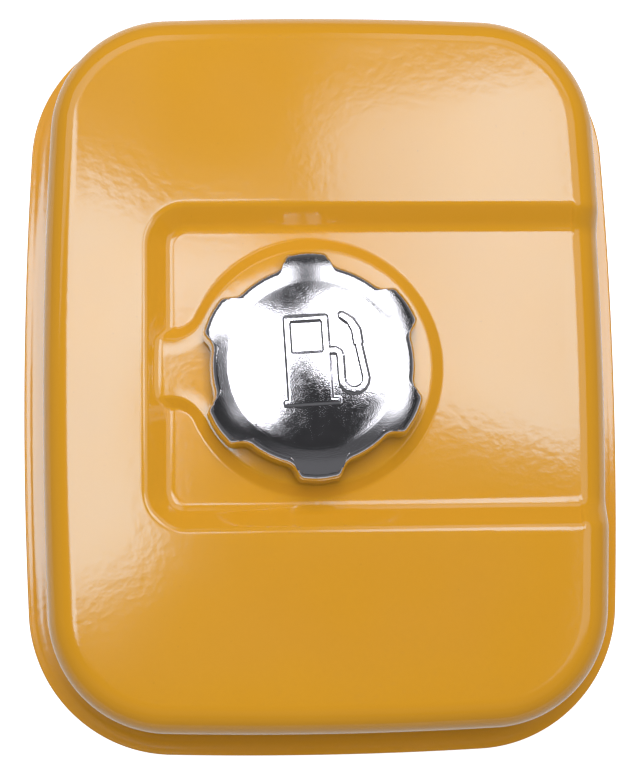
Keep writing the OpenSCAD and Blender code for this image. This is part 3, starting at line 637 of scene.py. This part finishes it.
class Shader:
    """A node material with a Principled surface and short calls to add and join nodes.

    Noise scales are in cells per metre over the object, and depths of grain are in metres.
    """

    def __init__(self, name):
        self.material = bpy.data.materials.new(name)
        self.material.use_nodes = True
        self.tree = self.material.node_tree
        self.surface = self.tree.nodes["Principled BSDF"]
        self.place = self.add("ShaderNodeTexCoord").outputs["Object"]
        self.normal = None

    def add(self, kind, **settings):
        node = self.tree.nodes.new(kind)
        for key, value in settings.items():
            setattr(node, key, value)
        return node

    def join(self, source, target):
        self.tree.links.new(source, target)

    def set(self, **values):
        for key, value in values.items():
            self.surface.inputs[key.replace("_", " ")].default_value = value

    def noise(self, scale, detail=3.0):
        node = self.add("ShaderNodeTexNoise")
        self.join(self.place, node.inputs["Vector"])
        node.inputs["Scale"].default_value = scale
        node.inputs["Detail"].default_value = detail
        return node.outputs["Fac"]

    def span(self, value, within, to):
        """Maps a value from one range to another, without overshoot."""
        node = self.add("ShaderNodeMapRange")
        self.join(value, node.inputs["Value"])
        for key, number in zip(SPAN_KEYS, (*within, *to)):
            node.inputs[key].default_value = number
        return node.outputs["Result"]

    def blend(self, factor, first, second):
        """Mixes two colours by a factor; either colour may be a node's output."""
        node = self.add("ShaderNodeMix", data_type="RGBA")
        self.join(factor, node.inputs["Factor"])
        for socket, colour in ((node.inputs["A"], first), (node.inputs["B"], second)):
            if isinstance(colour, tuple):
                socket.default_value = (*colour, 1.0)
            else:
                self.join(colour, socket)
        return node.outputs["Result"]

    def clouds(self, colours, scale, detail, within=MOST):
        """Two colours that change over from place to place."""
        return self.blend(self.span(self.noise(scale, detail), within, (0.0, 1.0)), *colours)

    def colour(self, source):
        self.join(source, self.surface.inputs["Base Color"])

    def roughness(self, low, high, scale, detail=3.0, within=MOST):
        """Roughness that varies from low to high."""
        source = self.span(self.noise(scale, detail), within, (low, high))
        self.join(source, self.surface.inputs["Roughness"])

    def grain(self, scale, detail, strength, depth):
        """Adds a bump from a noise field to the surface normal, after those that are there."""
        node = self.add("ShaderNodeBump")
        node.inputs["Strength"].default_value = strength
        node.inputs["Distance"].default_value = depth
        self.join(self.noise(scale, detail), node.inputs["Height"])
        if self.normal is not None:
            self.join(self.normal, node.inputs["Normal"])
        self.normal = node.outputs["Normal"]
        self.join(self.normal, self.surface.inputs["Normal"])


def powder_coat():
    """Glossy golden-yellow powder coat with orange peel, faint cloudiness and a few specks."""
    s = Shader("tank_paint")
    coat = s.clouds(PAINT, scale=14.0, detail=4.0)
    specks = s.span(s.noise(scale=900.0, detail=1.0), within=(0.78, 0.82), to=(0.0, 0.35))
    s.colour(s.blend(specks, coat, PAINT_SPECK))
    s.roughness(0.06, 0.11, scale=40.0)
    s.set(IOR=1.5, Specular_Tint=PAINT_GLOSS)
    s.grain(scale=420.0, detail=2.0, strength=0.13, depth=0.0002)
    s.grain(scale=60.0, detail=2.0, strength=0.02, depth=0.001)
    return s.material


def chrome_plate():
    """Bright chrome over a pressed cover, with the fine grain of thin plating."""
    s = Shader("cap_chrome")
    s.set(Base_Color=CHROME, Metallic=1.0)
    s.roughness(0.05, 0.12, scale=500.0, detail=2.0, within=(0.35, 0.7))
    s.grain(scale=3000.0, detail=1.0, strength=0.3, depth=0.00006)
    s.grain(scale=70.0, detail=2.0, strength=0.012, depth=0.0006)
    return s.material


def zinc_plate():
    """Bright zinc over steel sheet, slightly cloudy."""
    s = Shader("zinc_steel")
    s.colour(s.clouds(ZINC, scale=90.0, detail=4.0))
    s.roughness(0.25, 0.42, scale=260.0)
    s.set(Metallic=1.0)
    s.grain(scale=1500.0, detail=2.0, strength=0.1, depth=0.0001)
    return s.material


def turned_brass():
    """Turned brass, a little dull."""
    s = Shader("brass")
    s.colour(s.clouds(BRASS, scale=200.0, detail=3.0))
    s.roughness(0.2, 0.35, scale=700.0)
    s.set(Metallic=1.0)
    s.grain(scale=2500.0, detail=1.0, strength=0.1, depth=0.0001)
    return s.material


def natural_nylon():
    """Moulded nylon in its own pale colour."""
    s = Shader("nylon")
    s.colour(s.clouds(NYLON, scale=120.0, detail=3.0))
    s.roughness(0.35, 0.5, scale=400.0)
    s.set(Subsurface_Weight=0.15, Subsurface_Scale=0.002)
    s.grain(scale=1800.0, detail=2.0, strength=0.08, depth=0.0001)
    return s.material


def moulded_rubber():
    """Matt black rubber."""
    s = Shader("rubber")
    s.colour(s.clouds(RUBBER, scale=150.0, detail=4.0))
    s.roughness(0.55, 0.8, scale=500.0)
    s.grain(scale=2200.0, detail=3.0, strength=0.25, depth=0.0002)
    return s.material


def open_foam():
    """Dark foam with open cells."""
    s = Shader("foam")
    s.colour(s.clouds(FOAM, scale=1300.0, detail=2.0, within=(0.4, 0.6)))
    s.set(Roughness=0.95)
    s.grain(scale=1300.0, detail=2.0, strength=0.8, depth=0.0005)
    return s.material


FINISH = {
    "tank_paint": powder_coat(),
    "cap_chrome": chrome_plate(),
    "zinc_steel": zinc_plate(),
    "brass": turned_brass(),
    "nylon": natural_nylon(),
    "rubber": moulded_rubber(),
    "foam": open_foam(),
}


def finish_piece(piece, slot, body):
    """Gives a piece the finish of its slot and hangs it under its body."""
    piece.data.materials.clear()
    piece.data.materials.append(FINISH[slot])
    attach(piece, body)


def finish_nodes():
    """Gives each CAD node the finish of its record slot."""
    for part in frame["record"]["subparts"]:
        node = frame["nodes"][part["node"]]
        for slot in node.material_slots:
            slot.material = FINISH[part["material_slot"]]


finish_nodes()
skin = upper_shell()
finish_piece(skin, "tank_paint", "tank")
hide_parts("upper_shell")
pan = lower_shell()
finish_piece(pan, "tank_paint", "tank")
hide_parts("lower_shell")
cover = cap_shell()
finish_piece(cover, "cap_chrome", "cap")
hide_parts("cap_shell")


# Stage: soft boxes over the tank, its surroundings, a lamp, a white floor and the camera

def bare_tree(owner, output):
    """The emptied node tree of a material or world, and the input that takes its surface."""
    owner.use_nodes = True
    tree = owner.node_tree
    tree.nodes.clear()
    return tree, tree.nodes.new(output).inputs["Surface"]


def math_node(tree, operation, first, second):
    """A Math node's output; each input is a number or another node's output."""
    node = tree.nodes.new("ShaderNodeMath")
    node.operation = operation
    for socket, value in zip(node.inputs, (first, second)):
        if isinstance(value, float):
            socket.default_value = value
        else:
            tree.links.new(value, socket)
    return node.outputs["Value"]


LIGHT_Z = TOP_Z + 700.0
BOX_GLOW = 10.1
BOX_REACH = 1000.0
BOX_STEP = 10.0
TAIL = 0.1
TAIL_RUN = 2
ROOM_GLOW = 0.0042


def emission(name):
    """A light-giving material that follows the glow stored at each point of its sheet."""
    material = bpy.data.materials.new(name)
    tree, surface = bare_tree(material, "ShaderNodeOutputMaterial")
    level = tree.nodes.new("ShaderNodeAttribute")
    level.attribute_name = "glow"
    light = tree.nodes.new("ShaderNodeEmission")
    strength = math_node(tree, "MULTIPLY", level.outputs["Fac"], BOX_GLOW)
    tree.links.new(strength, light.inputs["Strength"])
    tree.links.new(light.outputs["Emission"], surface)
    return material


def add_sheet(name, points, faces, glow):
    """A stage sheet that shines by its glow and is seen in reflections only."""
    mesh = bpy.data.meshes.new(name)
    mesh.from_pydata((points * MM).tolist(), [], faces)
    mesh.attributes.new("glow", "FLOAT", "POINT").data.foreach_set("value", glow)
    mesh.materials.append(emission(name + "_glow"))
    sheet = link_object(name, mesh)
    sheet.visible_camera = sheet.visible_diffuse = sheet.visible_shadow = False


def edge(start, end, soft, floor=0.0):
    """A straight edge of a soft box, with a soft width across it.

    Seen along the way from start to end, the light goes down to the floor's level on the left.
    """
    return np.array(start, float), np.array(end, float), soft, floor


def back(line):
    """The same edge with its dark and its bright side exchanged."""
    start, end, soft, floor = line
    return end, start, soft, floor


def edge_glow(line, x, y):
    """Light left at x, y by one edge: a fade, and a faint tail beyond it."""
    start, end, soft, floor = line
    run = (end - start) / np.linalg.norm(end - start)
    away = run[0] * (y - start[1]) - run[1] * (x - start[0])
    near = smoothstep(-soft / 2, soft / 2, away)
    far = smoothstep(-soft / 2, soft * TAIL_RUN, away)
    return 1.0 - (1.0 - floor) * ((1.0 - TAIL) * near + TAIL * far)


# Each soft box has its level and its edges, in millimetres on the sheet of light
LEFT_EDGE = edge((-92, 400), (-92, -300), 40.0)
LOW_EDGE = edge((222, 19), (137, 39), 32.0)
SOFT_BOXES = {
    "left": (1.0, LEFT_EDGE, edge((-200, 262), (-100, 208), 45.0, 0.03),
             edge((-90, -58), (-150, -88), 45.0), edge((-300, -260), (-420, 320), 90.0)),
    "middle": (0.95, back(LEFT_EDGE), edge((0, 138), (-72, 108), 70.0),
               edge((12, 230), (-12, 130), 50.0), edge((-200, 196), (100, 189), 48.0)),
    "right": (1.0, edge((36, 130), (36, 300), 50.0), edge((110, 130), (110, 300), 150.0, 0.62),
              edge((120, 0), (0, 100), 50.0), LOW_EDGE, edge((47, 290), (157, 314), 50.0, 0.08),
              edge((245, 900), (245, -900), 20.0, 0.19)),
    "side": (0.19, back(LOW_EDGE), edge((240, -95), (262, 0), 30.0),
             edge((700, -200), (100, -200), 120.0)),
    "back_left": (0.19, edge((-75, 700), (-75, 500), 100.0), edge((-95, 420), (-450, 320), 60.0)),
    "back_right": (0.19, edge((90, 500), (90, 700), 100.0), edge((900, 430), (100, 430), 60.0)),
    "front_strip": (0.012, edge((-600, -400), (600, -400), 120.0),
                    edge((600, -800), (-600, -800), 80.0)),
}
BOX_LIMITS = [edge((640, 900), (640, -900), 20.0), edge((-900, 820), (900, 820), 20.0)]


def soft_boxes():
    """One sheet over the tank with the light of all soft boxes; each fades across its edges."""
    xs = ys = np.arange(-BOX_REACH, BOX_REACH + BOX_STEP, BOX_STEP)
    x, y = [g.ravel() for g in np.meshgrid(xs, ys)]
    glow = np.full_like(x, ROOM_GLOW)
    for level, *edges in SOFT_BOXES.values():
        glow += level * np.prod([edge_glow(line, x, y) for line in edges + BOX_LIMITS], axis=0)
    row = len(xs)
    firsts = [j * row + i for j in range(len(ys) - 1) for i in range(row - 1)]
    faces = [(k, k + row, k + row + 1, k + 1) for k in firsts]
    add_sheet("soft_boxes", np.column_stack([x, y, np.full_like(x, LIGHT_Z)]), faces, glow)


# The ring of surroundings; each row has a height, its share of the front's level, and a level all round
RING_R = 1500.0
RING_COUNT = 64
RING_FRONT = 0.6
FRONT_FULL = 0.9
RING_ROWS = (
    (0.0, 1.0, 0.20),
    (170.0, 1.0, 0.20),
    (260.0, 0.0, 0.20),
    (560.0, 0.0, 0.15),
    (1500.0, 0.0, 0.10),
)


def pale_ring():
    """The surroundings from table height up, palest low in front; they show in what faces sideways."""
    angle = np.linspace(0, 2 * math.pi, RING_COUNT, endpoint=False)
    flat = RING_R * np.stack([np.cos(angle), np.sin(angle)], axis=1)
    front = RING_FRONT * smoothstep(0.0, FRONT_FULL, -np.sin(angle))
    points = np.vstack([np.column_stack([flat, np.full(RING_COUNT, z)]) for z, _, _ in RING_ROWS])
    level = np.concatenate([share * front + base for _, share, base in RING_ROWS])
    add_sheet("pale_ring", points, ring_faces(len(RING_ROWS), RING_COUNT), level / BOX_GLOW)


LAMP_AT = (0, 310, TOP_Z + 1100)
LAMP_SIZE = (500, 1000)
LAMP_WATTS = 13.9


def base_light(name):
    """A broad lamp that lights the colours and is not seen in reflections."""
    data = bpy.data.lights.new(name, "AREA")
    data.shape = "RECTANGLE"
    data.size, data.size_y = [c * MM for c in LAMP_SIZE]
    data.energy = LAMP_WATTS
    lamp = link_object(name, data)
    lamp.location = [c * MM for c in LAMP_AT]
    lamp.visible_glossy = lamp.visible_camera = False


def seen_directly(tree, mirrored=1.0):
    """1 for the camera's rays, mirrored for those that gloss or glass sends on, 0 for diffuse ones."""
    path = tree.nodes.new("ShaderNodeLightPath").outputs
    sent_on = math_node(tree, "MAXIMUM", path["Is Glossy Ray"], path["Is Transmission Ray"])
    dimmed = math_node(tree, "MULTIPLY", sent_on, mirrored)
    return math_node(tree, "MAXIMUM", path["Is Camera Ray"], dimmed)


# The floor, in metres: its lift grows with the way from the middle, so that it ends as pure white
FLOOR_Z = 0.0
FLOOR_HALF = 2.5
FLOOR_CORNERS = ((-1, -1), (1, -1), (1, 1), (-1, 1))
FLOOR_MIRRORED = 0.3
PAPER = (0.85, 0.85, 0.85, 1.0)
LIFT_WITHIN = (0.4, 1.5)
LIFT_LEVELS = (0.85, 1.0)


def floor_lift(tree):
    """Light that the floor adds for the camera, and some of it for reflections."""
    place = tree.nodes.new("ShaderNodeTexCoord")
    away = tree.nodes.new("ShaderNodeVectorMath")
    away.operation = "LENGTH"
    tree.links.new(place.outputs["Object"], away.inputs[0])
    level = tree.nodes.new("ShaderNodeMapRange")
    for key, value in zip(SPAN_KEYS, (*LIFT_WITHIN, *LIFT_LEVELS)):
        level.inputs[key].default_value = value
    tree.links.new(away.outputs["Value"], level.inputs["Value"])
    shown = seen_directly(tree, FLOOR_MIRRORED)
    return math_node(tree, "MULTIPLY", shown, level.outputs["Result"])


def white_paper():
    """Diffuse white paper with a lift of its own light."""
    material = bpy.data.materials.new("white_paper")
    tree, surface = bare_tree(material, "ShaderNodeOutputMaterial")
    paper = tree.nodes.new("ShaderNodeBsdfDiffuse")
    paper.inputs["Color"].default_value = PAPER
    lift = tree.nodes.new("ShaderNodeEmission")
    tree.links.new(floor_lift(tree), lift.inputs["Strength"])
    both = tree.nodes.new("ShaderNodeAddShader")
    tree.links.new(paper.outputs["BSDF"], both.inputs[0])
    tree.links.new(lift.outputs["Emission"], both.inputs[1])
    tree.links.new(both.outputs["Shader"], surface)
    return material


def white_floor():
    """A white floor that reads as white paper and still takes the object's shadow."""
    mesh = bpy.data.meshes.new("floor")
    points = [(x * FLOOR_HALF, y * FLOOR_HALF, FLOOR_Z) for x, y in FLOOR_CORNERS]
    mesh.from_pydata(points, [], [(0, 1, 2, 3)])
    mesh.materials.append(white_paper())
    floor = link_object("floor", mesh)


WORLD_GREY = (0.17, 0.17, 0.17, 1.0)
WORLD_WHITE = (1.0, 1.0, 1.0, 1.0)


def surroundings():
    """White behind the object, and a soft grey as the light that reaches it from all round."""
    world = bpy.data.worlds.new("studio")
    tree, surface = bare_tree(world, "ShaderNodeOutputWorld")
    pick = tree.nodes.new("ShaderNodeMixShader")
    tree.links.new(seen_directly(tree), pick.inputs["Fac"])
    for place, colour in ((1, WORLD_GREY), (2, WORLD_WHITE)):
        shade = tree.nodes.new("ShaderNodeBackground")
        shade.inputs["Color"].default_value = colour
        tree.links.new(shade.outputs["Background"], pick.inputs[place])
    tree.links.new(pick.outputs["Shader"], surface)
    bpy.context.scene.world = world


# Camera: nearly straight above, leaning a little, as the photograph was taken
CAMERA_AT = (-23.5, -52.4, SEAM_Z + 468.4)
CAMERA_TURN = (6.11, -2.78, -0.78)
FOCAL_PX = 1500.0
IMAGE_H_PX = 776.0
SENSOR_H = 36.0


def photo_camera():
    """The camera of the photograph; its place is in millimetres and its turn in degrees."""
    data = bpy.data.cameras.new("photo_camera")
    data.sensor_fit = "VERTICAL"
    data.sensor_height = SENSOR_H
    data.lens = FOCAL_PX / IMAGE_H_PX * SENSOR_H
    camera = link_object("photo_camera", data)
    camera.location = [c * MM for c in CAMERA_AT]
    camera.rotation_euler = [math.radians(a) for a in CAMERA_TURN]
    bpy.context.scene.camera = camera


soft_boxes()
pale_ring()
base_light("top_light")
white_floor()
surroundings()
photo_camera()
bpy.context.scene.view_settings.view_transform = "Standard"
